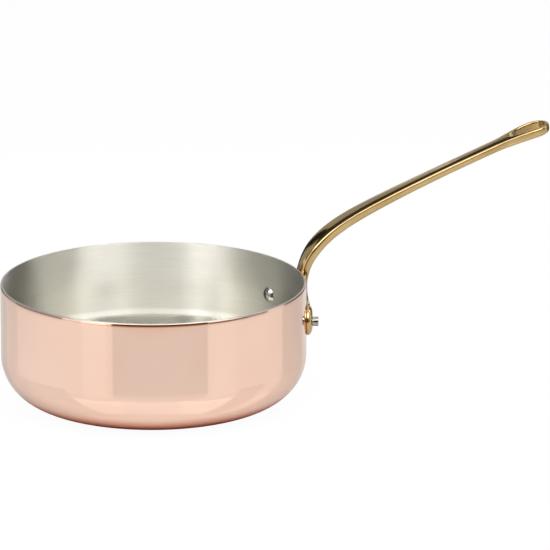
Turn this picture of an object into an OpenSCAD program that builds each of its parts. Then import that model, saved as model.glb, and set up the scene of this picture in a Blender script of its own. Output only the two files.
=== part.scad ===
// Risotto pan: a straight-sided copper body lined with steel, and a long cast
// handle held to its wall by three rivets. Lengths are in millimetres. The
// origin is the centre of the underside, +Z is up and the handle points along +X.

/* [Pan body] */
// Diameter across the outside of the wall
pan_d = 240; // [220:2:300]
// Height from the underside to the rim
pan_h = 94; // [88:1:120]
// Outside radius of the turn from the wall to the base
base_r = 37; // [20:1:42]
// Thickness of the copper
copper_t = 1.7; // [1.2:0.1:3]
// Thickness of the steel lining
lining_t = 0.3; // [0.2:0.1:1]
// Rounding of the copper's outer edge at the rim
rim_r = 1; // [0.4:0.1:1.1]

/* [Rivets] */
// Height of the third rivet above the turn of the wall
third_rise = 9; // [7:1:14]
// Height of the upper two rivets above the third
pair_rise = 16; // [14:1:20]
// Distance between the upper two rivets, measured round the wall
pair_w = 84; // [76:1:92]
// Diameter of the rivet's shank
shank_d = 6.5; // [5:0.5:8]
// Diameter of the domed head inside the pan
head_d = 12; // [10:0.5:13]
// Height of the domed head
head_h = 3.2; // [2:0.2:4]
// Diameter of the set end outside the flange
tail_d = 7.4; // [7:0.2:9]
// Height of the set end
tail_h = 4.4; // [2:0.2:5]
// Rounding of the set end's outer edge
tail_round = 0.5; // [0.2:0.1:1]
// Clearance round the shank in its holes
rivet_gap = 0.05; // [0.02:0.01:0.1]

/* [Handle flange] */
// Thickness of the flange on the wall
flange_t = 5; // [4:0.5:6]
// Radius of the ear at each of the upper rivets
ear_r = 12; // [10:0.5:14]
// How far the ear's centre lies inwards from its rivet, measured round the wall
ear_in = 4; // [0:0.5:5]
// Radius of the toe round the third rivet
toe_r = 11; // [9:0.5:13]
// Radius of the hollow in the edge between an ear and the toe
hollow_r = 30; // [24:1:45]
// Radius of the flare from the neck to an ear
flare_r = 22; // [18:1:26]
// Width of the rounded band along the flange's edge
flange_band = 5; // [3:0.5:6]
// Half width of the rib that runs from the neck down the flange
rib_half = 8; // [5:0.5:12]

/* [Handle shank] */
// Depth below the rim at which the handle leaves the wall
leave_drop = 13.2; // [10:0.2:16]
// Length along the handle from there to its tip
handle_l = 253.5; // [200:0.5:300]
// Length over which the handle turns outwards from the wall
turn_l = 36.6; // [30:0.2:42]
// How late the turn fades, as the power in its fall-off
turn_power = 1.39; // [1:0.01:1.6]
// Rise of the handle above level after the turn, in degrees
shank_angle = 22; // [15:0.5:30]
// Rise of the handle above level before its tip, in degrees
tip_angle = 18.7; // [10:0.1:30]
// How far the tip bows back down from that rise, in degrees
bow_angle = 6.5; // [0:0.5:20]
// Width at the neck, where the flare ends
neck_w = 13.6; // [12:0.2:16]
// Width of the broad stretch after the turn
shoulder_w = 18; // [14:0.2:20]
// Width of the slim stretch before the eye
waist_w = 13.8; // [11:0.2:16]
// Thickness at the neck
neck_t = 7.8; // [6:0.2:9]
// Thickness of the broad stretch
shoulder_t = 8.8; // [7:0.2:10]
// Thickness of the slim stretch
waist_t = 7; // [5:0.2:8]
// Radius along the upper edges
edge_r = 1; // [0.6:0.1:1.4]

/* [Hanging eye] */
// Width of the handle across the eye
eye_w = 23.4; // [20:0.2:28]
// Thickness of the handle at the eye
eye_t = 7.4; // [5:0.2:8]
// Length over which the handle widens to the eye
eye_swell = 37; // [32:1:60]
// Width of the opening in the eye
slot_w = 16.6; // [12:0.2:18]
// Length of the opening in the eye
slot_l = 31.6; // [24:0.2:34]
// Width of the rounded band along the eye's outer edge
eye_band = 5; // [3:0.5:6]

/* [Hidden] */

// Cuts run past the faces that they open by this much
over = 1;
// Depth to which the blank of the flange reaches into the wall before it is cut to fit
bed_depth = 0.5;
// Length past the leaving point over which that depth fades
bed_fade = 8;
// Power that sets how square the handle's underside is, where 2 is an ellipse
square_power = 3.4;
// Power that sets how pointed the opening's inner end is, where 0.5 is an ellipse
point_power = 0.6;
// Places of the broadest and the slimmest stretch, as shares of the handle's length
shoulder_share = 0.152;
waist_share = 0.665;
// Places where the handle is thickest and where it has thinned to the waist
thin_start_share = 0.12;
thin_end_share = 0.68;
// Part of the half width that the underside's curve takes on the shank
crown_share = 0.98;
// Place where the tip starts to bow down, as a share of the handle's length
bow_share = 0.87;
// Length over which the section loses the wall's curve, as a share of the handle's length
flatten_share = 0.15;

pan_r = pan_d / 2;
lining_r = pan_r - copper_t;
inner_r = lining_r - lining_t;
third_z = base_r + third_rise;
pair_z = third_z + pair_rise;
pair_angle = pair_w / 2 / pan_r * 180 / PI;
leave_z = pan_h - leave_drop;
ear_u = pair_z - leave_z;
toe_u = third_z - leave_z;
eye_u = handle_l - eye_w / 2;
slot_start = handle_l - (eye_w - slot_w) / 2 - slot_l;
head_ball_r = (pow(head_d / 2, 2) + pow(head_h, 2)) / (2 * head_h);

// The steps that the handle's surface takes along each stretch, and across it
toe_steps = 4;
hollow_steps = 4;
ear_steps = 12;
flare_steps = 7;
shank_steps = 30;
tip_steps = 7;
face_steps = 4;
edge_steps = 2;
crown_steps = 6;
path_steps = 500;
curve_fn = 96;

// Helpers

function mix(a, b, t) = a + (b - a) * t;
function clamp01(t) = min(1, max(0, t));
function smooth(a, b, x) = let (t = clamp01((x - a) / (b - a))) t * t * (3 - 2 * t);
function polar(c, r, angle) = [c[0] + r * cos(angle), c[1] + r * sin(angle)];
function heading(from, to) = atan2(to[1] - from[1], to[0] - from[0]);

// The handle's path: the line along the middle of its upper face, by its length u
// from where it leaves the wall. Its slope falls from upright to the shank's rise.

function slope_at(u) = let (rise = mix(shank_angle, tip_angle, max(0, u) / handle_l)
        - bow_angle * smooth(bow_share * handle_l, handle_l, u))
    rise + (90 - rise) * exp(-pow(max(0, u) / turn_l, turn_power));
path_step = handle_l / path_steps;
path = [for (i = 0, x = pan_r, z = leave_z; i <= path_steps;
    x = x + path_step * cos(slope_at((i + 0.5) * path_step)),
    z = z + path_step * sin(slope_at((i + 0.5) * path_step)), i = i + 1) [x, z]];
function path_at(u) = u <= 0 ? [pan_r, leave_z + u]
    : let (k = u / path_step, i = min(path_steps - 1, floor(k))) mix(path[i], path[i + 1], k - i);

// The size of the section at u

function half_width(u) =
    let (to_shoulder = smooth(flare_c[0], shoulder_share * handle_l, u),
        to_waist = smooth(shoulder_share * handle_l, waist_share * handle_l, u),
        to_eye = smooth(eye_u - eye_swell, eye_u, u))
    mix(mix(mix(neck_w, shoulder_w, to_shoulder), waist_w, to_waist), eye_w, to_eye) / 2;
function thickness(u) =
    let (to_shoulder = smooth(0, thin_start_share * handle_l, u),
        to_waist = smooth(thin_start_share * handle_l, thin_end_share * handle_l, u))
    mix(mix(mix(neck_t, shoulder_t, to_shoulder), waist_t, to_waist),
        eye_t, smooth(eye_u - eye_swell, eye_u, u));
function band(u) = mix(mix(flange_band, crown_share * half_width(u), smooth(ear_u, flare_c[0], u)),
    eye_band, smooth(eye_u - eye_swell, slot_start, u));

// A point of the handle: u along it, y across its upper face, depth below that face.
// On the wall the section is rolled round the pan, and on the shank it is flat.

function place(u, y, depth) =
    let (p = path_at(u), slope = u <= 0 ? 90 : slope_at(u),
        roll = (1 - smooth(0, flatten_share * handle_l, u)) / pan_r,
        turn = roll * y * 180 / PI,
        down = roll > 0 ? depth * cos(turn) - (1 - cos(turn)) / roll : depth,
        side = roll > 0 ? (1 / roll + depth) * sin(turn) : y)
    [p[0] + down * sin(slope), side, p[1] - down * cos(slope)];

// Stations of the outline: [point on the edge, way inwards, place on the middle line].
// They run up one side, from the toe round the ear, along the neck and to the tip.

toe_c = [toe_u, 0];
ear_c = [ear_u, pair_w / 2 - ear_in];
hollow_c = let (d = norm(ear_c - toe_c), e = (ear_c - toe_c) / d, a = toe_r + hollow_r,
    b = ear_r + hollow_r, along = (d * d + a * a - b * b) / (2 * d))
    toe_c + along * e + sqrt(a * a - along * along) * [-e[1], e[0]];
flare_c = let (across = ear_c[1] - neck_w / 2 - flare_r)
    [ear_u + sqrt(pow(ear_r + flare_r, 2) - across * across), neck_w / 2 + flare_r];
eye_c = [eye_u, 0];

function arc(c, r, a0, a1, t, inwards, middle) = let (a = mix(a0, a1, t))
    [polar(c, r, a), [inwards * cos(a), inwards * sin(a)], middle];

toe_line = heading(toe_c, hollow_c);
ear_line = heading(hollow_c, ear_c);
flare_line = heading(ear_c, flare_c);
stations = [
    for (i = [0:toe_steps - 1]) let (t = (i + 0.5) / toe_steps)
        arc(toe_c, toe_r, 180, toe_line, t, -1, toe_u + (t - 1) * toe_r / 8),
    for (i = [0:hollow_steps - 1]) let (t = i / hollow_steps)
        arc(hollow_c, hollow_r, toe_line - 180, ear_line, t, 1, mix(toe_u, ear_u - ear_r / 3, t)),
    for (i = [0:ear_steps - 1]) let (t = i / ear_steps)
        arc(ear_c, ear_r, ear_line + 180, flare_line, t, -1, mix(ear_u - ear_r / 3, ear_u + ear_r / 2, t)),
    for (i = [0:flare_steps - 1]) let (t = i / flare_steps)
        arc(flare_c, flare_r, flare_line + 180, 270, t, 1, mix(ear_u + ear_r / 2, flare_c[0], t)),
    for (i = [0:shank_steps - 1]) let (u = mix(flare_c[0], eye_u, i / shank_steps))
        [[u, half_width(u)], [0, -1], u],
    for (i = [0:tip_steps - 1]) let (t = i / (tip_steps - 0.5))
        arc(eye_c, eye_w / 2, 90, 0, t, -1, eye_u + t * eye_w / 8)
];

// Half of the section at a station, from the middle of the upper face round the
// edge to the middle of the underside, as [u, y, depth].

function sunk(u) = -bed_depth * (1 - smooth(0, bed_fade, u));
function inner_face(edge, inwards, middle) =
    let (from = [middle, 0], to = edge + edge_r * inwards)
    [for (k = [0:face_steps]) let (q = mix(from, to, k / face_steps)) [q[0], q[1], sunk(q[0])]];
function upper_edge(edge, inwards) =
    [for (k = [1:edge_steps]) let (a = 90 * k / edge_steps, q = edge + edge_r * (1 - sin(a)) * inwards)
        [q[0], q[1], edge_r * (1 - cos(a))]];
function body_depth(u, y) =
    let (along = smooth(toe_u, 0, u), across = mix(exp(-pow(y / rib_half, 2)), 1, smooth(0, flare_c[0], u)))
    mix(flange_t, thickness(u), along * across);
function crown(edge, inwards) =
    [for (k = [1:crown_steps]) let (a = 90 * k / crown_steps,
        q = edge + band(edge[0]) * (1 - pow(cos(a), 2 / square_power)) * inwards)
        [q[0], q[1], edge_r + (body_depth(q[0], q[1]) - edge_r) * pow(sin(a), 2 / square_power)]];
function outer_face(edge, inwards, middle) =
    let (from = edge + band(edge[0]) * inwards, to = [middle, 0])
    [for (k = [1:face_steps]) let (q = mix(from, to, k / face_steps))
        [q[0], q[1], body_depth(q[0], q[1])]];
function half_section(s) = concat(inner_face(s[0], s[1], s[2]), upper_edge(s[0], s[1]),
    crown(s[0], s[1]), outer_face(s[0], s[1], s[2]));

// The handle's whole skin: a ring round each station, and a seam at either end

half_n = 2 * face_steps + edge_steps + crown_steps;
ring_n = 2 * half_n;
function ring(half) = [for (j = [0:ring_n - 1])
    let (q = j <= half_n ? half[j] : half[ring_n - j], side = j <= half_n ? 1 : -1)
    place(q[0], side * q[1], q[2])];
handle_points = [for (s = stations) each ring(half_section(s))];
last_ring = (len(stations) - 1) * ring_n;
function quad(a, b, c, d) = [[a, b, c], [a, c, d]];
function seam(base, turned) = [for (j = [0:half_n - 1])
    let (a = base + j, b = base + j + 1, c = base + (ring_n - j - 1) % ring_n, d = base + (ring_n - j) % ring_n)
    for (t = quad(a, b, c, d)) if (t[0] != t[1] && t[1] != t[2] && t[2] != t[0])
        turned ? [t[2], t[1], t[0]] : t];
handle_faces = [
    for (i = [0:len(stations) - 2]) for (j = [0:ring_n - 1])
        let (k = (j + 1) % ring_n, a = i * ring_n, b = a + ring_n)
        each quad(a + j, a + k, b + k, b + j),
    each seam(0, true),
    each seam(last_ring, false)
];

// Sub-parts

// Half section of a filled cup with a round lower corner and a round top edge
module cup_section(r, h, low_r, top_r) {
    square([r - low_r, h]);
    translate([0, low_r]) square([r, h - low_r - top_r]);
    translate([0, h / 2]) square([r - top_r, h / 2]);
    translate([r - low_r, low_r]) circle(r = low_r, $fn = curve_fn);
    translate([r - top_r, h - top_r]) circle(r = top_r, $fn = curve_fn);
}

// A cup of one thickness, from its outside radius and the height of its underside
module cup(r, z, corner, wall, top_r) {
    rotate_extrude($fn = 2 * curve_fn)
        difference() {
            translate([0, z]) cup_section(r, pan_h - z, corner, top_r);
            translate([0, z + wall]) cup_section(r - wall, pan_h + over, corner - wall, top_r);
        }
}

// Turns its children so that their Z axis points straight out of the wall at a rivet
module at_rivet(angle, z) {
    rotate([0, 0, angle]) translate([0, 0, z]) rotate([0, 90, 0]) children();
}

// The holes for all three rivets, between two distances from the pan's axis
module rivet_holes(from_r, to_r) {
    for (place = [[pair_angle, pair_z], [-pair_angle, pair_z], [0, third_z]])
        at_rivet(place[0], place[1]) translate([0, 0, from_r])
            cylinder(d = shank_d + 2 * rivet_gap, h = to_r - from_r, $fn = curve_fn);
}

module copper_shell() {
    color([0.85, 0.5, 0.36]) difference() {
        cup(pan_r, 0, base_r, copper_t, rim_r);
        rivet_holes(inner_r - over, pan_r + over);
    }
}

module steel_lining() {
    color([0.78, 0.78, 0.75]) difference() {
        cup(lining_r, copper_t, base_r - copper_t, lining_t, lining_t / 3);
        rivet_holes(inner_r - over, lining_r + over);
    }
}

// Outline of the opening: round at the tip, drawn in to a blunt point towards the shank
module slot_outline() {
    taper = eye_u - slot_start;
    half = [for (i = [0:ear_steps]) let (t = 1 - cos(90 * i / ear_steps))
        [-taper * (1 - t), slot_w / 2 * pow(1 - pow(1 - t, 2), point_power)]];
    circle(d = slot_w, $fn = curve_fn);
    polygon(concat(half, [for (i = [ear_steps:-1:1]) [half[i][0], -half[i][1]]]));
}

module brass_handle() {
    eye_p = path_at(eye_u);
    color([0.8, 0.64, 0.32]) difference() {
        polyhedron(points = handle_points, faces = handle_faces);
        cylinder(r = pan_r, h = pan_h, $fn = 2 * curve_fn);
        rivet_holes(pan_r - over, pan_r + shoulder_t + over);
        translate([eye_p[0], 0, eye_p[1]]) rotate([0, -slope_at(eye_u), 0])
            translate([0, 0, -eye_t - over]) linear_extrude(height = eye_t + 2 * over) slot_outline();
    }
}

// One rivet: a domed head that fits the lining, a shank, and a set end outside
module rivet(angle, z) {
    color([0.8, 0.8, 0.8]) {
        intersection() {
            at_rivet(angle, z) translate([0, 0, inner_r - head_h + head_ball_r])
                sphere(r = head_ball_r, $fn = curve_fn);
            cylinder(r = inner_r, h = pan_h, $fn = 2 * curve_fn);
        }
        at_rivet(angle, z) translate([0, 0, inner_r - head_h / 2])
            cylinder(d = shank_d, h = head_h / 2 + pan_r - inner_r + flange_t + tail_h / 2, $fn = curve_fn);
        at_rivet(angle, z) translate([0, 0, pan_r + flange_t]) rotate_extrude($fn = curve_fn) {
            square([tail_d / 2, tail_h - tail_round]);
            square([tail_d / 2 - tail_round, tail_h]);
            translate([tail_d / 2 - tail_round, tail_h - tail_round]) circle(r = tail_round, $fn = curve_fn);
        }
    }
}

module rivet_left() { rivet(pair_angle, pair_z); }
module rivet_right() { rivet(-pair_angle, pair_z); }
module rivet_bottom() { rivet(0, third_z); }

copper_shell();
steel_lining();
brass_handle();
rivet_left();
rivet_right();
rivet_bottom();
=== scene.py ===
"""The looks of a risotto pan: a polished copper body lined with brushed steel, and a
long cast brass handle that three bright rivets hold to its wall. Lengths are in metres."""

import math

import bpy
import bmesh
import numpy as np
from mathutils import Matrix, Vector


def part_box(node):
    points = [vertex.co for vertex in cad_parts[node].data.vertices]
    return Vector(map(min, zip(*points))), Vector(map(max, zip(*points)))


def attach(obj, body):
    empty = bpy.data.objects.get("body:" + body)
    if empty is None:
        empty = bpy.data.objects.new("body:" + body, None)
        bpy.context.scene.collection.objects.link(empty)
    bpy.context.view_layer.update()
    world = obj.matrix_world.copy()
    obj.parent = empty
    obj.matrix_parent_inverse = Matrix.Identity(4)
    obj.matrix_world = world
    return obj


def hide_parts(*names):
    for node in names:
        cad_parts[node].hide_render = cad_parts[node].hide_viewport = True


MM = 0.001

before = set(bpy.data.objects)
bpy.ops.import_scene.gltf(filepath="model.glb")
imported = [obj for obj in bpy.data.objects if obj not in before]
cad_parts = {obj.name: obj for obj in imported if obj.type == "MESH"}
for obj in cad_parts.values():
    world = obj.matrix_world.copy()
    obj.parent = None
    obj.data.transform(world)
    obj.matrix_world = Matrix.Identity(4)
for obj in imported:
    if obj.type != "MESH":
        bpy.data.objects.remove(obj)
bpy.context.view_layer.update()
shell_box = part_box("copper_shell")

# Pan body
PAN_R = shell_box[1][0]
PAN_H = shell_box[1][2]
BASE_R = 37 * MM
COPPER_T = 1.7 * MM
LINING_T = 0.3 * MM
RIM_ROUND_W = 0.8 * MM
RIM_ROUND_H = 3.2 * MM
LINING_RIM_R = 0.2 * MM
LINING_R = PAN_R - COPPER_T
INNER_R = LINING_R - LINING_T
HAIR_GAP = 0.02 * MM
WELD = HAIR_GAP / 4

# Rivets
THIRD_Z = BASE_R + 9 * MM
PAIR_Z = THIRD_Z + 16 * MM
PAIR_W = 84 * MM
SHANK_R = 3.25 * MM
HEAD_R = 6 * MM
HEAD_H = 3.2 * MM
TAIL_R = 3.7 * MM
TAIL_H = 4.4 * MM
TAIL_ROUND = 0.5 * MM

# Handle, measured by u: the length along it from where it leaves the wall
FLANGE_T = 5 * MM
EAR_R = 12 * MM
EAR_IN = 4 * MM
TOE_R = 11 * MM
HOLLOW_R = 30 * MM
FLARE_R = 22 * MM
FLANGE_BAND = 8 * MM
RIB_HALF = 8 * MM
LEAVE_Z = PAN_H - 13.2 * MM
HANDLE_L = 253.35 * MM
TURN_L = 36.6 * MM
TURN_POWER = 1.39
SHANK_ANGLE = 22
TIP_ANGLE = 18.7
BOW_ANGLE = 6.5
NECK_W = 13.6 * MM
SHOULDER_W = 18 * MM
WAIST_W = 13.8 * MM
NECK_T = 7.8 * MM
SHOULDER_T = 8.8 * MM
WAIST_T = 7 * MM
EDGE_R = 1 * MM
BEND_EDGE_R = 3 * MM
BEND_LOW = 14 * MM
BEND_HIGH = 70 * MM
EYE_W = 23.4 * MM
EYE_T = 7.4 * MM
EYE_SWELL = 37 * MM
SLOT_W = 16.6 * MM
SLOT_L = 31.6 * MM
EYE_BAND = 5 * MM
SLOT_EDGE_R = 0.8 * MM
SQUARE_POWER = 3.4
FLANGE_POWER = 2
TOP_DROP = 0.5 * MM
EYE_DROP = 0.25 * MM
TOP_POWER = 3
POINT_POWER = 0.6
FLAT_ROLL = 1e-6
SHOULDER_SHARE = 0.152
WAIST_SHARE = 0.665
THICK_SHARE = 0.12
THIN_SHARE = 0.68
CROWN_SHARE = 0.98
BOW_SHARE = 0.87
FLATTEN_SHARE = 0.15
ARM_BAND_SHARE = 0.8

EAR_U = PAIR_Z - LEAVE_Z
TOE_U = THIRD_Z - LEAVE_Z
EYE_U = HANDLE_L - EYE_W / 2
SLOT_U = HANDLE_L - (EYE_W - SLOT_W) / 2 - SLOT_L

# How finely the surfaces are divided, and the angles past which their edges stay sharp
TURNS = 384
FLAT_STEPS = 24
TURN_STEPS = 28
WALL_STEPS = 14
RIM_STEPS = 18
LIP_STEPS = 3
RIVET_TURNS = 48
HEAD_STEPS = 14
TAIL_STEPS = 5
PATH_STEPS = 2500
FLANGE_STEPS = 18
EAR_STEPS = 48
FLARE_STEPS = 30
SHANK_STEPS = 199
ARM_STEPS = 45
TIP_STEPS = 40
FACE_STEPS = 10
EDGE_STEPS = 7
CROWN_STEPS = 22
OPENING_STEPS = 6
CUP_SHARP = 35
RIVET_SHARP = 40
HANDLE_SHARP = 50

# Camera: a long lens, 16 degrees above level, with the handle turned 20 degrees away from it
VIEW_TURN = math.radians(20)
VIEW_DOWN = math.radians(15.68)
VIEW_DISTANCE = 40 * PAN_R
FRAME_PX = 550
SENSOR = 36
FOCAL_PX = 153.2
AIM_RIGHT = 95.3 * MM
AIM_UP = 5.75 * MM
CLIP_END = 50


def camera():
    """A camera that looks along the view direction at a point right of the pan's rim."""
    right = Vector((math.cos(VIEW_TURN), -math.sin(VIEW_TURN), 0))
    level = Vector((math.sin(VIEW_TURN), math.cos(VIEW_TURN), 0))
    forward = level * math.cos(VIEW_DOWN) - Vector((0, 0, math.sin(VIEW_DOWN)))
    aim = Vector((0, 0, PAN_H + AIM_UP)) + right * AIM_RIGHT
    data = bpy.data.cameras.new("camera")
    data.sensor_width = SENSOR
    data.lens = SENSOR * FOCAL_PX * VIEW_DISTANCE / PAN_R / FRAME_PX
    data.clip_end = CLIP_END
    eye = bpy.data.objects.new("camera", data)
    eye.location = aim - forward * VIEW_DISTANCE
    eye.rotation_euler = forward.to_track_quat("-Z", "Y").to_euler()
    bpy.context.scene.collection.objects.link(eye)
    bpy.context.scene.camera = eye


camera()


# Numpy helpers


def smooth(a, b, x):
    """The smooth step from 0 at a to 1 at b: t * t * (3 - 2 * t), with t held from 0 to 1."""
    t = np.clip((x - a) / (b - a), 0, 1)
    return t * t * (3 - 2 * t)


def mix(a, b, t):
    """The value that lies t of the way from a to b."""
    return a + (b - a) * t


def add_piece(name, points, faces):
    """A new mesh object from an array of points and a list or array of faces."""
    mesh = bpy.data.meshes.new(name)
    mesh.from_pydata(np.asarray(points).tolist(), [], [list(map(int, f)) for f in faces])
    mesh.validate()
    piece = bpy.data.objects.new(name, mesh)
    bpy.context.scene.collection.objects.link(piece)
    return piece


def close_and_smooth(piece, sharp_angle):
    """Welds points closer than WELD, turns every face outwards and shades smoothly."""
    work = bmesh.new()
    work.from_mesh(piece.data)
    bmesh.ops.remove_doubles(work, verts=work.verts, dist=WELD)
    bmesh.ops.dissolve_degenerate(work, edges=work.edges, dist=WELD / 10)
    bmesh.ops.recalc_face_normals(work, faces=work.faces)
    work.to_mesh(piece.data)
    work.free()
    piece.data.shade_smooth()
    piece.data.set_sharp_from_angle(angle=math.radians(sharp_angle))


def grid_quads(rows, columns, wrap_rows=False, wrap_columns=False):
    """The quads of a grid of points, numbered along its rows, as an array of four columns."""
    r = np.arange(rows if wrap_rows else rows - 1)
    c = np.arange(columns if wrap_columns else columns - 1)
    r, c = [part.ravel() for part in np.meshgrid(r, c, indexing="ij")]
    r2 = (r + 1) % rows
    c2 = (c + 1) % columns
    return np.stack([r * columns + c, r * columns + c2, r2 * columns + c2, r2 * columns + c], 1)


def revolve(name, profile, turns):
    """A profile of (radius, height) turned about Z: point i at angle a lies at
    (radius_i * cos a, radius_i * sin a, height_i). Both its ends lie on the axis."""
    radius, height = np.array(profile).T
    angle = np.linspace(0, 2 * math.pi, turns, endpoint=False)[:, None]
    ring = np.stack([radius * np.cos(angle), radius * np.sin(angle), height + 0 * angle], -1)
    return add_piece(name, ring.reshape(-1, 3), grid_quads(turns, len(radius), wrap_rows=True))


def arc(centre, radius, start, end, steps):
    """Points on an arc about centre, from the start angle to the end angle in degrees."""
    a = np.radians(np.linspace(start, end, steps + 1))
    return [(centre[0] + radius * math.cos(t), centre[1] + radius * math.sin(t)) for t in a]


def line(start, end, steps):
    """Points along a straight line, without its last one."""
    return [(mix(start[0], end[0], t), mix(start[1], end[1], t)) for t in np.arange(steps) / steps]


# Pan body


def cup_profile(outer_r, bottom_z, wall, round_w, round_h):
    """A round cup's profile: out along the underside, round the turn, up the wall, over the
    rim, and back down and in along the inside. Both turns share one centre, and the rim's
    outer edge is a quarter of an ellipse, round_w wide and round_h high."""
    corner = BASE_R - (PAN_R - outer_r)
    inner_r = outer_r - wall
    centre = (outer_r - corner, bottom_z + corner)
    profile = line((0, bottom_z), (centre[0], bottom_z), FLAT_STEPS)
    profile += arc(centre, corner, -90, 0, TURN_STEPS)
    profile += line((outer_r, centre[1] + MM), (outer_r, PAN_H - round_h), WALL_STEPS)
    a = np.radians(np.linspace(0, 90, RIM_STEPS + 1))
    edge = np.stack([outer_r - round_w * (1 - np.cos(a)), PAN_H - round_h * (1 - np.sin(a))], 1)
    profile += edge.tolist()
    profile += [(inner_r + LINING_RIM_R, PAN_H)]
    lip = (inner_r + LINING_RIM_R, PAN_H - LINING_RIM_R)
    profile += arc(lip, LINING_RIM_R, 90, 180, LIP_STEPS)
    profile += line((inner_r, PAN_H - MM), (inner_r, centre[1] + MM), WALL_STEPS)
    profile += arc(centre, corner - wall, 0, -90, TURN_STEPS)
    profile += line((centre[0] - MM, bottom_z + wall), (0, bottom_z + wall), FLAT_STEPS)
    return profile + [(0, bottom_z + wall)]


def copper_shell():
    """The copper body: a closed cup turned about Z."""
    profile = cup_profile(PAN_R, 0, COPPER_T, RIM_ROUND_W, RIM_ROUND_H)
    piece = revolve("copper_body", profile, TURNS)
    close_and_smooth(piece, CUP_SHARP)
    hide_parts("copper_shell")
    return piece


def steel_lining():
    """The steel lining: a thin closed cup inside the copper, a hair away from it."""
    outer_r = LINING_R - HAIR_GAP
    bottom_z = COPPER_T + HAIR_GAP
    wall = LINING_T - HAIR_GAP
    profile = cup_profile(outer_r, bottom_z, wall, LINING_RIM_R, LINING_RIM_R)
    piece = revolve("steel_inside", profile, TURNS)
    close_and_smooth(piece, CUP_SHARP)
    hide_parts("steel_lining")
    return piece


# Rivets


def rivet(name, node, angle, z):
    """One rivet, turned about the axis that points out of the wall at an angle round the pan.
    Its profile is (distance from that axis, distance from the pan's axis): a spherical head
    whose edge is drawn in to meet the curved lining, a shank, and a set end outside."""
    ball_r = (HEAD_R ** 2 + HEAD_H ** 2) / (2 * HEAD_H)
    top = INNER_R - HEAD_H
    tip = np.linspace(0, math.asin(HEAD_R / ball_r), HEAD_STEPS + 1)
    head = [(ball_r * math.sin(t), top + ball_r * (1 - math.cos(t))) for t in tip]
    out = PAN_R + FLANGE_T
    end = out + TAIL_H
    stem = [(SHANK_R, INNER_R), (SHANK_R, out), (TAIL_R - TAIL_ROUND / 2, out)]
    tail = [(TAIL_R, out + TAIL_ROUND / 2), (TAIL_R, end - TAIL_ROUND)]
    tail += arc((TAIL_R - TAIL_ROUND, end - TAIL_ROUND), TAIL_ROUND, 0, 90, TAIL_STEPS)[1:]
    face = [(share * (TAIL_R - TAIL_ROUND), end) for share in (0.66, 0.33, 0)]
    radius, out_from = np.array(head + stem + tail + face).T
    turn = np.linspace(0, 2 * math.pi, RIVET_TURNS, endpoint=False)[:, None]
    across = radius * np.cos(turn)
    up = radius * np.sin(turn)
    on_wall = np.sqrt(INNER_R ** 2 - across ** 2)
    out_from = np.where(out_from <= INNER_R, np.minimum(out_from, on_wall), out_from + 0 * turn)
    c, s = math.cos(angle), math.sin(angle)
    points = np.stack([out_from * c - across * s, out_from * s + across * c, z + up], -1)
    faces = grid_quads(RIVET_TURNS, len(radius), wrap_rows=True)
    piece = add_piece(name, points.reshape(-1, 3), faces)
    close_and_smooth(piece, RIVET_SHARP)
    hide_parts(node)
    return piece


# The handle's path and sections


def slope_at(u):
    """The handle's slope at u, in radians: it falls from upright to a steady rise, and
    bows back down near the tip."""
    rise = mix(SHANK_ANGLE, TIP_ANGLE, np.maximum(0, u) / HANDLE_L)
    rise = rise - BOW_ANGLE * smooth(BOW_SHARE * HANDLE_L, HANDLE_L, u)
    fade = np.exp(-np.power(np.maximum(0, u) / TURN_L, TURN_POWER))
    return np.radians(rise + (90 - rise) * fade)


path_u = np.linspace(0, HANDLE_L, PATH_STEPS + 1)
path_slope = slope_at((path_u[1:] + path_u[:-1]) / 2)
path_x = PAN_R + np.concatenate([[0], np.cumsum(np.cos(path_slope))]) * path_u[1]
path_z = LEAVE_Z + np.concatenate([[0], np.cumsum(np.sin(path_slope))]) * path_u[1]


def place(u, y, depth):
    """The point at u along the handle, y across its upper face and depth below that face.
    On the wall the section is rolled round the pan, and on the shank it is flat."""
    x = np.where(u <= 0, PAN_R, np.interp(u, path_u, path_x))
    z = np.where(u <= 0, LEAVE_Z + u, np.interp(u, path_u, path_z))
    slope = np.where(u <= 0, math.pi / 2, slope_at(u))
    roll = np.maximum(1 - smooth(0, FLATTEN_SHARE * HANDLE_L, u), FLAT_ROLL) / PAN_R
    turn = roll * y
    down = depth * np.cos(turn) - (1 - np.cos(turn)) / roll
    side = (1 / roll + depth) * np.sin(turn)
    return np.stack([x + down * np.sin(slope), side, z - down * np.cos(slope)], -1)


TOE_C = np.array([TOE_U, 0])
EAR_C = np.array([EAR_U, PAIR_W / 2 - EAR_IN])
flare_across = EAR_C[1] - NECK_W / 2 - FLARE_R
flare_along = math.sqrt((EAR_R + FLARE_R) ** 2 - flare_across ** 2)
FLARE_C = np.array([EAR_U + flare_along, NECK_W / 2 + FLARE_R])


def between_arcs(a, ra, b, rb):
    """The centre of the hollow that touches the circles of radius ra about a and rb about b."""
    reach_a, reach_b = ra + HOLLOW_R, rb + HOLLOW_R
    d = np.linalg.norm(b - a)
    e = (b - a) / d
    along = (d * d + reach_a ** 2 - reach_b ** 2) / (2 * d)
    return a + along * e + math.sqrt(reach_a ** 2 - along ** 2) * np.array([-e[1], e[0]])


HOLLOW_C = between_arcs(TOE_C, TOE_R, EAR_C, EAR_R)


def half_width(u):
    """Half the shank's width at u: neck, shoulder, waist and eye, joined by smooth steps."""
    width = mix(NECK_W, SHOULDER_W, smooth(FLARE_C[0], SHOULDER_SHARE * HANDLE_L, u))
    width = mix(width, WAIST_W, smooth(SHOULDER_SHARE * HANDLE_L, WAIST_SHARE * HANDLE_L, u))
    return mix(width, EYE_W, smooth(EYE_U - EYE_SWELL, EYE_U, u)) / 2


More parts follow.
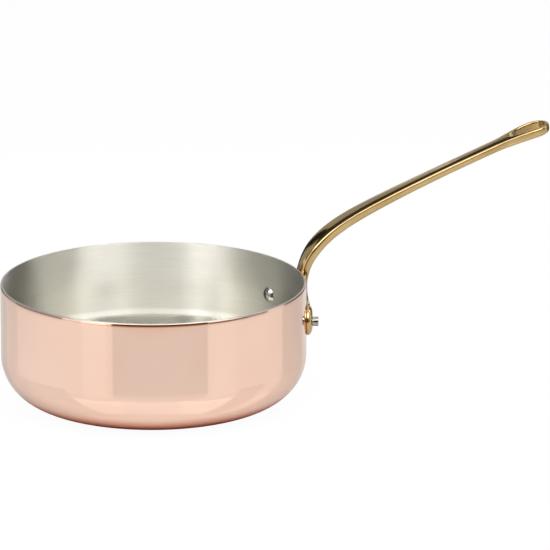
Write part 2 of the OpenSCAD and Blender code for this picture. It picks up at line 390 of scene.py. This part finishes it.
def thickness(u):
    """The shank's thickness at u, joined the same way."""
    size = mix(NECK_T, SHOULDER_T, smooth(0, THICK_SHARE * HANDLE_L, u))
    size = mix(size, WAIST_T, smooth(THICK_SHARE * HANDLE_L, THIN_SHARE * HANDLE_L, u))
    return mix(size, EYE_T, smooth(EYE_U - EYE_SWELL, EYE_U, u))


def body_depth(u, y):
    """The depth of the outer face: the flange's thickness, with a rib down its middle that
    falls off as exp(-(y / RIB_HALF) ** 2) and grows into the whole shank."""
    along = smooth(TOE_U, 0, u)
    across = mix(np.exp(-(y / RIB_HALF) ** 2), 1, smooth(0, FLARE_C[0], u))
    return mix(FLANGE_T, thickness(u), along * across)


def edge_band(u):
    """The width of the rounded band along the outer edge of the underside."""
    band = mix(FLANGE_BAND, CROWN_SHARE * half_width(u), smooth(EAR_U, FLARE_C[0], u))
    return mix(band, EYE_BAND, smooth(EYE_U - EYE_SWELL, SLOT_U, u))


def top_drop(u):
    """How far the upper face's edges lie below its middle at u: none on the wall."""
    drop = TOP_DROP * smooth(0, FLARE_C[0], u)
    return mix(drop, EYE_DROP, smooth(EYE_U - EYE_SWELL, SLOT_U, u))


def arc_stations(centre, radius, angles, steps, inwards, middle=(0, 0), last=False):
    """Stations along an arc of the handle's outline: columns are the edge point (u, y), the
    way inwards (u, y) and the place on the middle line, which goes from the first value of
    middle to the second. inwards is -1 where the handle lies inside the arc, or else 1. The
    two angles are in degrees, and last says whether the arc keeps its last station."""
    t = np.linspace(0, 1, steps + 1)
    t = t if last else t[:-1]
    a = np.radians(mix(*angles, t))
    way = np.stack([np.cos(a), np.sin(a)], 1)
    middle = mix(*middle, t)[:, None]
    return np.hstack([centre + radius * way, inwards * way, middle])


def heading(a, b):
    """The direction from a to b, in degrees."""
    return math.degrees(math.atan2(b[1] - a[1], b[0] - a[0]))


def flange_and_shank_stations():
    """The stations from the toe round the ear and along the shank to the opening."""
    toe_line = heading(TOE_C, HOLLOW_C)
    ear_line = heading(HOLLOW_C, EAR_C)
    flare_line = heading(EAR_C, FLARE_C)
    toe_low = TOE_U - TOE_R / 8
    ear_low = EAR_U - EAR_R / 3
    ear_high = EAR_U + EAR_R / 2
    toe = (180, toe_line)
    hollow = (toe_line - 180, ear_line)
    ear = (ear_line + 180, flare_line)
    flare = (flare_line + 180, 270)
    u = np.linspace(FLARE_C[0], SLOT_U, SHANK_STEPS + 1)[:-1]
    shank = np.stack([u, half_width(u), 0 * u, 0 * u - 1, u], 1)
    return np.vstack([
        arc_stations(TOE_C, TOE_R, toe, FLANGE_STEPS, -1, (toe_low, TOE_U)),
        arc_stations(HOLLOW_C, HOLLOW_R, hollow, FLANGE_STEPS, 1, (TOE_U, ear_low)),
        arc_stations(EAR_C, EAR_R, ear, EAR_STEPS, -1, (ear_low, ear_high)),
        arc_stations(FLARE_C, FLARE_R, flare, FLARE_STEPS, 1, (ear_high, FLARE_C[0])),
        shank,
    ])


def eye_stations():
    """The stations round the opening: columns are the edge point, the way inwards, the
    opening's edge (u, y) and the way out of the opening (u, y). The opening's half width
    is SLOT_W / 2 * (1 - c ** 2) ** POINT_POWER, with c the share of its taper that is left."""
    phi = np.radians(np.linspace(0, 90, ARM_STEPS + 1))[:-1]
    taper = EYE_U - SLOT_U
    u = EYE_U - taper * np.cos(phi)
    hole_y = SLOT_W / 2 * np.power(np.sin(phi), 2 * POINT_POWER)
    rise = np.power(np.sin(phi), 2 * POINT_POWER - 1)
    slope = 2 * POINT_POWER * SLOT_W / 2 * rise * np.cos(phi)
    out = np.stack([-slope, taper * np.sin(phi)], 1)
    out[0] = (-1, 0)
    out = out / np.linalg.norm(out, axis=1)[:, None]
    arms = np.hstack([np.stack([u, half_width(u), 0 * u, 0 * u - 1, u, hole_y], 1), out])
    centre = np.array([EYE_U, 0])
    tip = arc_stations(centre, EYE_W / 2, (90, 0), TIP_STEPS, -1, last=True)
    way = -tip[:, 2:4]
    hole = centre + SLOT_W / 2 * way
    return np.vstack([arms, np.hstack([tip[:, :4], hole, way])])


def edge_radius(u):
    """The radius of the upper face's rounded edge at u: it's widest where the handle has
    just left the wall, and crisp along the rest."""
    bend = smooth(0, BEND_LOW, u) * (1 - smooth(BEND_LOW, BEND_HIGH, u))
    return mix(EDGE_R, BEND_EDGE_R, bend)


def edge_turn(edge, middle):
    """At each station, the rounded edge's radius, the drop of the upper face's edge, the
    face's tilt where the rounded edge takes over, and the depth at which that edge ends. The
    face falls off as the power TOP_POWER of the way from its middle to its edge."""
    radius = edge_radius(edge[:, 0])
    drop = top_drop(edge[:, 0])
    tilt = np.arctan(TOP_POWER * drop / np.linalg.norm(edge - middle, axis=1))
    return radius, drop, tilt, drop + radius * np.cos(tilt)


def across_sections(edge, inwards, middle, band):
    """Half sections as arrays of (u, y, depth), from the middle point across the upper face,
    round the edge and back along the underside to the middle. The crown's place and depth
    follow a superellipse: 1 - cos(a) ** (2 / p) inwards and sin(a) ** (2 / p) down."""
    radius, drop, tilt, side = [part[:, None, None] for part in edge_turn(edge, middle)]
    edge, inwards, middle = [part[:, None, :] for part in (edge, inwards, middle)]
    band = band[:, None, None]
    k = np.linspace(0, 1, FACE_STEPS + 1)[None, :, None]
    face = mix(middle, edge + radius * (1 - np.sin(tilt)) * inwards, k)
    upper = np.concatenate([face, drop * np.power(k, TOP_POWER)], -1)
    a = mix(tilt, math.pi / 2, np.linspace(0, 1, EDGE_STEPS + 1)[None, 1:, None])
    turn = edge + radius * (1 - np.sin(a)) * inwards
    rounded = np.concatenate([turn, side - radius * np.cos(a)], -1)
    a = np.radians(np.linspace(0, 90, CROWN_STEPS + 1))[None, 1:, None]
    power = 2 / mix(FLANGE_POWER, SQUARE_POWER, smooth(EAR_U, FLARE_C[0], edge[..., :1]))
    curve = edge + band * (1 - np.power(np.abs(np.cos(a)), power)) * inwards
    deep = body_depth(curve[..., 0], np.abs(curve[..., 1]))[..., None]
    crown = np.concatenate([curve, side + (deep - side) * np.power(np.sin(a), power)], -1)
    under = mix(edge + band * inwards, middle, k[:, 1:])
    deep = body_depth(under[..., 0], np.abs(under[..., 1]))[..., None]
    return np.concatenate([upper, rounded, crown, np.concatenate([under, deep], -1)], 1)


def opening_wall(hole, out, wall_bottom):
    """The opening's wall at each station, from the underside up to the upper face: a rounded
    edge, a straight wall and a rounded edge, as (u, y, depth)."""
    a = np.radians(np.linspace(0, 90, OPENING_STEPS + 1))[None, :, None]
    hole, out = hole[:, None, :], out[:, None, :]
    low = wall_bottom[:, None, None]
    turn = hole + SLOT_EDGE_R * (1 - np.sin(a)) * out
    lower = np.concatenate([turn, low - SLOT_EDGE_R * (1 - np.cos(a))], -1)[:, 1:]
    k = np.linspace(0, 1, OPENING_STEPS + 1)[None, 1:, None]
    rise = mix(low - SLOT_EDGE_R, SLOT_EDGE_R, k)
    wall = np.concatenate([hole + 0 * rise, rise], -1)
    turn = hole + SLOT_EDGE_R * (1 - np.cos(a)) * out
    upper = np.concatenate([turn, SLOT_EDGE_R * (1 - np.sin(a)) + 0 * turn[..., :1]], -1)[:, 1:-1]
    return np.concatenate([lower, wall, upper], 1)


def under_depth(share, side, deep):
    """The depth of the eye's underside, where share is how much of the full band is left
    between a point and the band's inner end: the superellipse, though the arm is narrower."""
    fall = np.power(1 - np.power(share, SQUARE_POWER), 1 / SQUARE_POWER)
    return side + (deep - side) * fall


def brass_handle():
    """The cast handle: half sections at stations along its outline, mirrored. Along the
    flange and the shank each ends on the middle line, and round the eye each is a closed
    ring, because the opening's wall joins its ends."""
    body = flange_and_shank_stations()
    on_line = np.stack([body[:, 4], 0 * body[:, 4]], 1)
    body_half = across_sections(body[:, :2], body[:, 2:4], on_line, edge_band(body[:, 0]))

    eye = eye_stations()
    edge, inwards, hole, out = eye[:, :2], eye[:, 2:4], eye[:, 4:6], eye[:, 6:8]
    ledge = hole + SLOT_EDGE_R * out
    arm = np.linalg.norm(edge - ledge, axis=1)
    full = edge_band(edge[:, 0])
    band = np.minimum(full, ARM_BAND_SHARE * arm)
    eye_half = across_sections(edge, inwards, ledge, band)
    shape = np.clip(1 - arm / full, 0, 1)
    side = edge_turn(edge, ledge)[3]
    low = under_depth(shape, side, body_depth(ledge[:, 0], ledge[:, 1]))
    under = eye_half[:, FACE_STEPS + EDGE_STEPS + 1:]
    inset = np.einsum("ijk,ik->ij", under[..., :2] - edge[:, None, :], inwards)
    share = np.clip(1 - inset / full[:, None], 0, 1)
    deep = body_depth(under[..., 0], np.abs(under[..., 1]))
    under[..., 2] = under_depth(share, side[:, None], deep)
    wall = opening_wall(hole, out, low)

    columns = body_half.shape[1]
    ribbon = np.concatenate([body_half, eye_half])
    eye_rows, wall_columns = wall.shape[:2]
    first = len(body_half) * columns
    ring = np.concatenate([
        (first + (np.arange(eye_rows) + 1) * columns - 1)[:, None],
        len(ribbon) * columns + np.arange(wall[..., 0].size).reshape(eye_rows, wall_columns),
        (first + np.arange(eye_rows) * columns)[:, None],
    ], 1)
    strip = grid_quads(eye_rows, wall_columns + 2)
    half = np.concatenate([ribbon.reshape(-1, 3), wall.reshape(-1, 3)])
    quads = np.concatenate([grid_quads(len(ribbon), columns), ring.ravel()[strip]])
    mirrored = half * np.array([1, -1, 1])
    both = np.concatenate([half, mirrored])
    points = place(both[:, 0], both[:, 1], both[:, 2])
    faces = np.concatenate([quads, quads[:, ::-1] + len(half)])
    piece = add_piece("cast_handle", points, faces)
    close_and_smooth(piece, HANDLE_SHARP)
    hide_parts("brass_handle")
    return piece


# Materials

# The sockets that a Mix node uses for two colours and for their mixture
MIX_A = 6
MIX_B = 7
MIX_RESULT = 2

WHITE = (1, 1, 1)
BLACK = (0, 0, 0)
COPPER = (0.935, 0.675, 0.55)
COPPER_DEEP = (0.915, 0.635, 0.505)
CUT_EDGE = (0.84, 0.79, 0.75)
# A darker band of painted shade along the rim's outer edge
RIM_EDGE_SHADE = (0.6, 0.5, 0.44)
STEEL = (0.79, 0.775, 0.72)
STEEL_DARK = (0.71, 0.695, 0.635)
# A painted highlight: the brighter ring at the top of the lining's turn
STEEL_PAINTED_HIGHLIGHT = (0.94, 0.925, 0.875)
BRASS = (0.62, 0.45, 0.22)
BRASS_DEEP = (0.52, 0.36, 0.155)
BRIGHT_STEEL = (0.45, 0.44, 0.41)
BRIGHT_STEEL_DEEP = (0.31, 0.3, 0.28)

# Heights over which the rim's colour changes from below to above, into a darker band of painted
# shade along its outer edge and then the brighter cut face, and its edge's added roughness
RIM_EDGE_START = (PAN_H - 0.7 * MM, PAN_H - 0.4 * MM)
CUT_START = (PAN_H - 0.06 * MM, PAN_H - 0.03 * MM)
RIM_EDGE_ROUGH = 0.28

# The lining's roughness on its floor and low wall, on its turn and on its upper wall, the heights
# over which it changes, and those over which the painted highlight, a brighter ring at the top
# of the turn, fades
BEND_ROUGH = 0.305
TURN_ROUGH = 0.16
WALL_ROUGH = 0.42
TURN_START = (4 * MM, 6 * MM)
TURN_END = (BASE_R - 5 * MM, BASE_R - 2 * MM)
WALL_SPAN = (BASE_R + 21 * MM, PAN_H - 18 * MM)
PAINTED_RING_START = (BASE_R - 3.5 * MM, BASE_R - 2 * MM)
PAINTED_RING_END = (BASE_R + 0.5 * MM, BASE_R + 3 * MM)

# The values of a noise that count as its least and its most, and how far the lining's roughness
# swings with its grain and its clouds
GRAIN_SPAN = (0.3, 0.7)
CLOUD_SPAN = (0.35, 0.65)
GRAIN_SWING = (-0.015, 0.015)
CLOUD_SWING = (-0.01, 0.01)
GRAIN_AROUND = 3
GRAIN_ACROSS = 900
QUARTER_TURN = 0.25


def node_tree(name):
    """A new material and its empty node tree, with an output and a Principled shader."""
    material = bpy.data.materials.new(name)
    material.use_nodes = True
    tree = material.node_tree
    tree.nodes.clear()
    output = tree.nodes.new("ShaderNodeOutputMaterial")
    shader = tree.nodes.new("ShaderNodeBsdfPrincipled")
    tree.links.new(shader.outputs[0], output.inputs[0])
    return material, tree, shader


def add_node(tree, kind, values=None, links=None, **settings):
    """Adds a node: settings are its properties, values its sockets' numbers, and links the
    output sockets that feed its inputs."""
    node = tree.nodes.new(kind)
    for key, value in settings.items():
        setattr(node, key, value)
    for key, value in (values or {}).items():
        node.inputs[key].default_value = value
    for key, socket in (links or {}).items():
        tree.links.new(socket, node.inputs[key])
    return node


def math_node(tree, operation, a, b):
    """One Math node: a is a socket, and b is a socket or a number."""
    node = add_node(tree, "ShaderNodeMath", operation=operation)
    tree.links.new(a, node.inputs[0])
    if isinstance(b, (int, float)):
        node.inputs[1].default_value = b
    else:
        tree.links.new(b, node.inputs[1])
    return node.outputs[0]


def spread(tree, value, span, to=(0, 1)):
    """A Map Range node that takes a value's span to the span that to gives, clamped."""
    values = {"From Min": span[0], "From Max": span[1], "To Min": to[0], "To Max": to[1]}
    return add_node(tree, "ShaderNodeMapRange", values, {"Value": value}).outputs[0]


def mix_colour(tree, factor, a, b):
    """A Mix node between two colours, where factor is a socket and a and b are either
    sockets or colours."""
    node = add_node(tree, "ShaderNodeMix", data_type="RGBA")
    tree.links.new(factor, node.inputs[0])
    for index, colour in ((MIX_A, a), (MIX_B, b)):
        if isinstance(colour, tuple):
            node.inputs[index].default_value = colour + (1,)
        else:
            tree.links.new(colour, node.inputs[index])
    return node.outputs[MIX_RESULT]


def object_place(tree):
    """The Object coordinates, which are metres in the part's own frame."""
    return add_node(tree, "ShaderNodeTexCoord").outputs["Object"]


def round_axis(tree, where):
    """A point's height, its distance from the pan's axis and its level part (x, y, 0)."""
    part = add_node(tree, "ShaderNodeSeparateXYZ", links={"Vector": where})
    level = add_node(
        tree, "ShaderNodeCombineXYZ", links={"X": part.outputs[0], "Y": part.outputs[1]}).outputs[0]
    radius = add_node(tree, "ShaderNodeVectorMath", links={0: level}, operation="LENGTH")
    return part.outputs[2], radius.outputs["Value"], level


def group(name, inputs, outputs):
    """A shader node group with float inputs, given with their values, and named outputs."""
    tree = bpy.data.node_groups.new(name, "ShaderNodeTree")
    for label, value in inputs.items():
        socket = tree.interface.new_socket(label, in_out="INPUT", socket_type="NodeSocketFloat")
        socket.default_value = value
    for label, kind in outputs.items():
        tree.interface.new_socket(label, in_out="OUTPUT", socket_type=kind)
    start = tree.nodes.new("NodeGroupInput")
    end = tree.nodes.new("NodeGroupOutput")
    return tree, start, end


def polish_group():
    """Buffed metal: a broad haze, which clouds the polish, and fine buffing lines that run
    round the pan's axis. The roughness is its base plus (haze - 0.5) times the depth. The
    group puts out the haze as a mask, the roughness and a normal."""
    tree, start, end = group(
        "buffed_metal",
        {"Haze Scale": 12, "Line Scale": 900, "Roughness": 0.1, "Haze Depth": 0.05, "Bump": 0.02},
        {"Haze": "NodeSocketFloat", "Roughness": "NodeSocketFloat", "Normal": "NodeSocketVector"},
    )
    where = object_place(tree)
    haze = add_node(
        tree, "ShaderNodeTexNoise", {"Detail": 3, "Roughness": 0.55},
        {"Vector": where, "Scale": start.outputs["Haze Scale"]},
    ).outputs["Fac"]
    height, radius, _ = round_axis(tree, where)
    along = add_node(tree, "ShaderNodeCombineXYZ", links={"X": radius, "Y": height})
    lines = add_node(
        tree, "ShaderNodeTexNoise", {"Detail": 4, "Roughness": 0.7},
        {"Vector": along.outputs[0], "Scale": start.outputs["Line Scale"]},
    ).outputs["Fac"]
    swing = math_node(tree, "SUBTRACT", haze, 0.5)
    swing = math_node(tree, "MULTIPLY", swing, start.outputs["Haze Depth"])
    rough = math_node(tree, "ADD", swing, start.outputs["Roughness"])
    bump = add_node(
        tree, "ShaderNodeBump", {"Distance": 0.2 * MM},
        {"Height": lines, "Strength": start.outputs["Bump"]},
    )
    tree.links.new(haze, end.inputs["Haze"])
    tree.links.new(rough, end.inputs["Roughness"])
    tree.links.new(bump.outputs[0], end.inputs["Normal"])
    return tree


def place_group(tree, shared, values):
    """Places a shared node group in a material with its own values."""
    node = add_node(tree, "ShaderNodeGroup", node_tree=shared)
    for label, value in values.items():
        node.inputs[label].default_value = value
    return node


def clouded(tree, buffed, colour, deep):
    """A colour that deepens with the haze of buffed metal."""
    return mix_colour(tree, spread(tree, buffed.outputs["Haze"], CLOUD_SPAN), colour, deep)


def finish_metal(tree, shader, colour, rough, normal):
    """Feeds a metal's colour, roughness and normal to its shader."""
    tree.links.new(colour, shader.inputs["Base Color"])
    tree.links.new(rough, shader.inputs["Roughness"])
    tree.links.new(normal, shader.inputs["Normal"])
    shader.inputs["Metallic"].default_value = 1


def polished_copper(shared):
    """Polished copper with a faint haze. At the rim its outer edge is rougher and darker, a
    band of painted shade, and the cut face above that is brighter."""
    material, tree, shader = node_tree("polished_copper")
    buffed = place_group(tree, shared, {
        "Haze Scale": 9, "Line Scale": 700, "Roughness": 0.06, "Haze Depth": 0.05, "Bump": 0})
    height = round_axis(tree, object_place(tree))[0]
    colour = clouded(tree, buffed, COPPER, COPPER_DEEP)
    # The rim's outer edge darkens: a band of painted shade
    edge = spread(tree, height, RIM_EDGE_START)
    colour = mix_colour(tree, edge, colour, RIM_EDGE_SHADE)
    colour = mix_colour(tree, spread(tree, height, CUT_START), colour, CUT_EDGE)
    added = math_node(tree, "MULTIPLY", edge, RIM_EDGE_ROUGH)
    rough = math_node(tree, "ADD", buffed.outputs["Roughness"], added)
    finish_metal(tree, shader, colour, rough, buffed.outputs["Normal"])
    return material


def brushed_steel():
    """Steel that is brushed round the pan's axis, on the wall and on the floor: noise of the
    radius and the height, stretched round the axis, sets its colour, roughness and bump. Its
    turn is smoother than its floor and wall, and has a painted highlight, a brighter ring at
    its top. The roughness is max(above, below) + upper, plus the swings of the grain and the
    clouds."""
    material, tree, shader = node_tree("brushed_steel")
    where = object_place(tree)
    height, radius, level = round_axis(tree, where)
    direction = add_node(tree, "ShaderNodeVectorMath", links={0: level}, operation="NORMALIZE")
    direction = add_node(tree, "ShaderNodeSeparateXYZ", links={"Vector": direction.outputs[0]})
    vector = add_node(tree, "ShaderNodeCombineXYZ", links={
        "X": math_node(tree, "MULTIPLY", direction.outputs[0], GRAIN_AROUND),
        "Y": math_node(tree, "MULTIPLY", direction.outputs[1], GRAIN_AROUND),
        "Z": math_node(tree, "MULTIPLY", radius, GRAIN_ACROSS),
    }).outputs[0]
    grain = add_node(
        tree, "ShaderNodeTexNoise", {"Scale": 1, "Detail": 5, "Roughness": 0.75},
        {"Vector": vector, "W": math_node(tree, "MULTIPLY", height, GRAIN_ACROSS)},
        noise_dimensions="4D",
    ).outputs["Fac"]
    cloud = add_node(
        tree, "ShaderNodeTexNoise", {"Scale": 16, "Detail": 2}, {"Vector": where}).outputs["Fac"]
    colour = mix_colour(tree, spread(tree, grain, GRAIN_SPAN), STEEL_DARK, STEEL)
    # A brighter ring at the top of the turn, painted into the colour as a highlight
    ring = math_node(
        tree, "MULTIPLY",
        spread(tree, height, PAINTED_RING_START),
        spread(tree, height, PAINTED_RING_END, (1, 0)),
    )
    colour = mix_colour(tree, ring, colour, STEEL_PAINTED_HIGHLIGHT)
    above = spread(tree, height, TURN_END, (TURN_ROUGH, BEND_ROUGH))
    below = spread(tree, height, TURN_START, (BEND_ROUGH, TURN_ROUGH))
    upper = spread(tree, height, WALL_SPAN, (0, WALL_ROUGH - BEND_ROUGH))
    rough = math_node(tree, "ADD", math_node(tree, "MAXIMUM", above, below), upper)
    rough = math_node(tree, "ADD", rough, spread(tree, grain, GRAIN_SPAN, GRAIN_SWING))
    rough = math_node(tree, "ADD", rough, spread(tree, cloud, CLOUD_SPAN, CLOUD_SWING))
    bump = add_node(
        tree, "ShaderNodeBump", {"Distance": 0.1 * MM, "Strength": 0.04}, {"Height": grain})
    tangent = add_node(tree, "ShaderNodeTangent", direction_type="RADIAL", axis="Z")
    finish_metal(tree, shader, colour, rough, bump.outputs[0])
    tree.links.new(tangent.outputs[0], shader.inputs["Tangent"])
    shader.inputs["Anisotropic"].default_value = 1
    shader.inputs["Anisotropic Rotation"].default_value = QUARTER_TURN
    return material


def cast_brass(shared):
    """Cast and polished brass: a soft waviness left by the casting, a faint haze and a
    colour that deepens in clouds."""
    material, tree, shader = node_tree("cast_brass")
    buffed = place_group(tree, shared, {
        "Haze Scale": 40, "Line Scale": 500, "Roughness": 0.1, "Haze Depth": 0.08, "Bump": 0})
    wave = add_node(
        tree, "ShaderNodeTexNoise", {"Scale": 70, "Detail": 2, "Roughness": 0.4},
        {"Vector": object_place(tree)},
    ).outputs["Fac"]
    bump = add_node(
        tree, "ShaderNodeBump", {"Distance": 2 * MM, "Strength": 0.03},
        {"Height": wave, "Normal": buffed.outputs["Normal"]},
    )
    colour = clouded(tree, buffed, BRASS, BRASS_DEEP)
    finish_metal(tree, shader, colour, buffed.outputs["Roughness"], bump.outputs[0])
    return material


def bright_rivet(shared):
    """Bright steel rivets with the slight dents of the hammer that set them."""
    material, tree, shader = node_tree("bright_rivet")
    buffed = place_group(tree, shared, {
        "Haze Scale": 150, "Line Scale": 1200, "Roughness": 0.14, "Haze Depth": 0.1, "Bump": 0.02})
    dent = add_node(
        tree, "ShaderNodeTexVoronoi", {"Scale": 320}, {"Vector": object_place(tree)},
        feature="SMOOTH_F1",
    ).outputs["Distance"]
    bump = add_node(
        tree, "ShaderNodeBump", {"Distance": 0.6 * MM, "Strength": 0.5},
        {"Height": dent, "Normal": buffed.outputs["Normal"]},
    )
    colour = clouded(tree, buffed, BRIGHT_STEEL, BRIGHT_STEEL_DEEP)
    finish_metal(tree, shader, colour, buffed.outputs["Roughness"], bump.outputs[0])
    return material


# The studio: a pale floor, and cards that the metal mirrors

FLOOR_HALF = 4
FLOOR_GAP = 0.3 * MM
FLOOR_ROUGH = 0.06

# The floor's colour in mirrors: a painted shade, tinted like the copper, beside the pan's foot,
# then near the pan, far from it and far in front of it
FLOOR_PAINTED_SHADE = (0.64, 0.28, 0.21)
FLOOR_NEAR = (0.73, 0.73, 0.73)
FLOOR_FAR = (0.75, 0.75, 0.75)
FLOOR_WARM = (0.71, 0.47, 0.31)

# Distances from the pan's axis over which the floor turns from the painted shade to near and from
# near to far, and over which it starts to glow in mirrors
SHADE_END = (PAN_R - 25 * MM, PAN_R - 8 * MM)
NEAR_END = (PAN_R + 20 * MM, PAN_R + 80 * MM)
GLOW_START = (PAN_R - 20 * MM, PAN_R + 20 * MM)

# Distances behind the pan's axis, away from the camera, over which the floor loses its warmth
# and is darkened twice with painted shade, and the shares by which it is darkened
WARM_END = (-5 * PAN_R, -3.3 * PAN_R)
BACK_START = (-0.7 * PAN_R, 1.5 * PAN_R)
BACK_SHARE = 0.12
FAR_BACK_START = (3 * PAN_R, 4.2 * PAN_R)
FAR_BACK_SHARE = 0.8

# The shares of the floor's light that are its own glow, to the camera and in mirrors
SEEN_SHARE = 0.96
MIRRORED_SHARE = 0.3

# Name, the two turns and the two rises in degrees, distance, shade and tint
SCREENS = (
    ("screen_front", (-29, 41), (10, 30), 1.7, 0.02, WHITE),
    ("screen_front_low", (-29, 41), (-2, 10), 1.7, 0.15, (1, 0.45, 0.15)),
    ("softbox_front", (-26, 24), (33, 66), 1.9, 2.9, WHITE),
    ("softbox_left", (-65, -26), (33, 66), 1.9, 4.7, WHITE),
    ("softbox_right", (24, 67), (33, 66), 1.9, 4.9, WHITE),
    ("screen_left_light", (-52, -33), (-2, 30), 1.5, 1.35, WHITE),
    ("screen_right_light", (46, 63), (9, 30), 1.5, 1.15, WHITE),
    ("screen_right_low", (41, 72), (-2, 9), 1.5, 0.1, WHITE),
    ("screen_left", (-95, -68), (18, 78), 2.0, 0.15, WHITE),
    ("screen_far_left", (-120, -95), (18, 78), 2.0, 0.4, WHITE),
    ("screen_left_low", (-120, -68), (-2, 12), 2.0, 0.2, WHITE),
    ("screen_right", (68, 93), (18, 78), 2.0, 0.02, WHITE),
    ("screen_right_side", (68, 92), (-2, 12), 2.0, 0.3, WHITE),
    ("softbox_far_right", (94, 112), (33, 66), 1.9, 3, WHITE),
    ("screen_far_right", (112, 150), (-2, 60), 2.0, 0.2, WHITE),
    ("screen_back_right", (150, 186), (20, 48), 2.1, 0.45, WHITE),
    ("screen_back_low", (164, 204), (-2, 9), 1.9, 0.04, WHITE),
    ("screen_back_lip", (164, 186), (9, 20), 1.9, 0.85, WHITE),
    ("screen_back", (186, 204), (9, 31), 1.9, 0.45, WHITE),
    ("screen_back_dark", (204, 217), (-2, 31), 1.9, 0.02, WHITE),
    ("screen_back_left", (217, 240), (-2, 31), 1.9, 0.45, WHITE),
    ("screen_back_high", (180, 236), (31, 52), 1.9, 0.05, WHITE),
    ("softbox_back", (180, 236), (57, 80), 1.9, 2.0, WHITE),
)


def around(turn, distance, height):
    """The point at a distance from the pan's axis and a height above its underside, where turn
    is its direction in degrees from the camera's, and rightwards in the picture is positive."""
    angle = math.pi * 1.5 - VIEW_TURN + math.radians(turn)
    return Vector((distance * math.cos(angle), distance * math.sin(angle), height))


def glow_card(name, corners, shade, tint):
    """A flat card off camera that glows with one shade of its tint, where 1 is full."""
    piece = add_piece(name, corners, [(0, 1, 2, 3)])
    material = bpy.data.materials.new(name)
    material.use_nodes = True
    tree = material.node_tree
    tree.nodes.clear()
    glow = add_node(tree, "ShaderNodeEmission", {"Color": tint + (1,), "Strength": shade})
    add_node(tree, "ShaderNodeOutputMaterial", links={"Surface": glow.outputs[0]})
    piece.data.materials.append(material)
    piece.visible_camera = False


def screen(name, turns, rises, distance, shade, tint):
    """An upright card across the directions between two turns, and between two rises above
    level, all in degrees. distance is from the pan's axis to its middle."""
    middle = (turns[0] + turns[1]) / 2
    half = math.radians(turns[1] - turns[0]) / 2
    low, high = [distance * math.tan(math.radians(rise)) for rise in rises]
    reach = distance / math.cos(half)
    left = middle - math.degrees(half)
    right = middle + math.degrees(half)
    corners = [around(left, reach, low), around(right, reach, low)]
    corners += [around(right, reach, high), around(left, reach, high)]
    glow_card(name, corners, shade, tint)


def studio_floor():
    """A pale, slightly glossy floor. To the camera most of it is plain white, so that only
    a faint shadow is left of the pan's. In mirrors it has a painted shade, tinted like the copper,
    beside the pan's foot, is warm far in front of it and has painted shade behind it, and glows
    partly of itself."""
    points = [
        (-FLOOR_HALF, -FLOOR_HALF, -FLOOR_GAP),
        (FLOOR_HALF, -FLOOR_HALF, -FLOOR_GAP),
        (FLOOR_HALF, FLOOR_HALF, -FLOOR_GAP),
        (-FLOOR_HALF, FLOOR_HALF, -FLOOR_GAP),
    ]
    piece = add_piece("floor", points, [(0, 1, 2, 3)])
    material, tree, shader = node_tree("pale_floor")
    shader.inputs["Roughness"].default_value = FLOOR_ROUGH
    path = add_node(tree, "ShaderNodeLightPath")
    where = object_place(tree)
    from_axis = add_node(tree, "ShaderNodeVectorMath", links={0: where}, operation="LENGTH")
    from_axis = from_axis.outputs["Value"]
    behind = add_node(
        tree, "ShaderNodeVectorMath", {1: around(180, 1, 0)}, {0: where}, operation="DOT_PRODUCT")
    behind = behind.outputs["Value"]
    # In mirrors, beside the pan's foot: a painted shade tinted like the copper
    tint = mix_colour(tree, spread(tree, from_axis, SHADE_END), FLOOR_PAINTED_SHADE, FLOOR_NEAR)
    tint = mix_colour(tree, spread(tree, from_axis, NEAR_END), tint, FLOOR_FAR)
    tint = mix_colour(tree, spread(tree, behind, WARM_END, (1, 0)), tint, FLOOR_WARM)
    # Behind the pan the floor is darkened in mirrors: painted shade
    tint = mix_colour(tree, spread(tree, behind, BACK_START, (0, BACK_SHARE)), tint, BLACK)
    tint = mix_colour(tree, spread(tree, behind, FAR_BACK_START, (0, FAR_BACK_SHARE)), tint, BLACK)
    tint = mix_colour(tree, path.outputs["Is Glossy Ray"], WHITE, tint)
    tree.links.new(tint, shader.inputs["Base Color"])
    white = add_node(tree, "ShaderNodeEmission", {"Strength": 1}, {"Color": tint})
    seen = math_node(tree, "MULTIPLY", path.outputs["Is Camera Ray"], SEEN_SHARE)
    clear = spread(tree, from_axis, GLOW_START, (0, MIRRORED_SHARE))
    mirrored = math_node(tree, "MULTIPLY", path.outputs["Is Glossy Ray"], clear)
    share = math_node(tree, "ADD", seen, mirrored)
    links = {0: share, 1: shader.outputs[0], 2: white.outputs[0]}
    blend = add_node(tree, "ShaderNodeMixShader", links=links)
    output = next(node for node in tree.nodes if node.bl_idname == "ShaderNodeOutputMaterial")
    tree.links.new(blend.outputs[0], output.inputs[0])
    piece.data.materials.append(material)


def studio():
    """A white world, the floor, and the screens round the pan. The metal mirrors them all,
    and the softboxes light it as well."""
    world = bpy.data.worlds.new("studio")
    world.use_nodes = True
    background = world.node_tree.nodes["Background"]
    background.inputs["Color"].default_value = WHITE + (1,)
    background.inputs["Strength"].default_value = 1
    bpy.context.scene.world = world
    bpy.context.scene.view_settings.view_transform = "Standard"
    studio_floor()
    for card in SCREENS:
        screen(*card)


def dress(piece, material):
    """Gives a piece its material and its slot, and lets it ride on the pan's one body."""
    piece.data.materials.clear()
    piece.data.materials.append(material)
    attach(piece, "root")


shared_polish = polish_group()
rivet_finish = bright_rivet(shared_polish)
dress(copper_shell(), polished_copper(shared_polish))
dress(steel_lining(), brushed_steel())
dress(brass_handle(), cast_brass(shared_polish))
pair_angle = PAIR_W / 2 / PAN_R
dress(rivet("left_rivet", "rivet_left", pair_angle, PAIR_Z), rivet_finish)
dress(rivet("right_rivet", "rivet_right", -pair_angle, PAIR_Z), rivet_finish)
dress(rivet("bottom_rivet", "rivet_bottom", 0, THIRD_Z), rivet_finish)
studio()
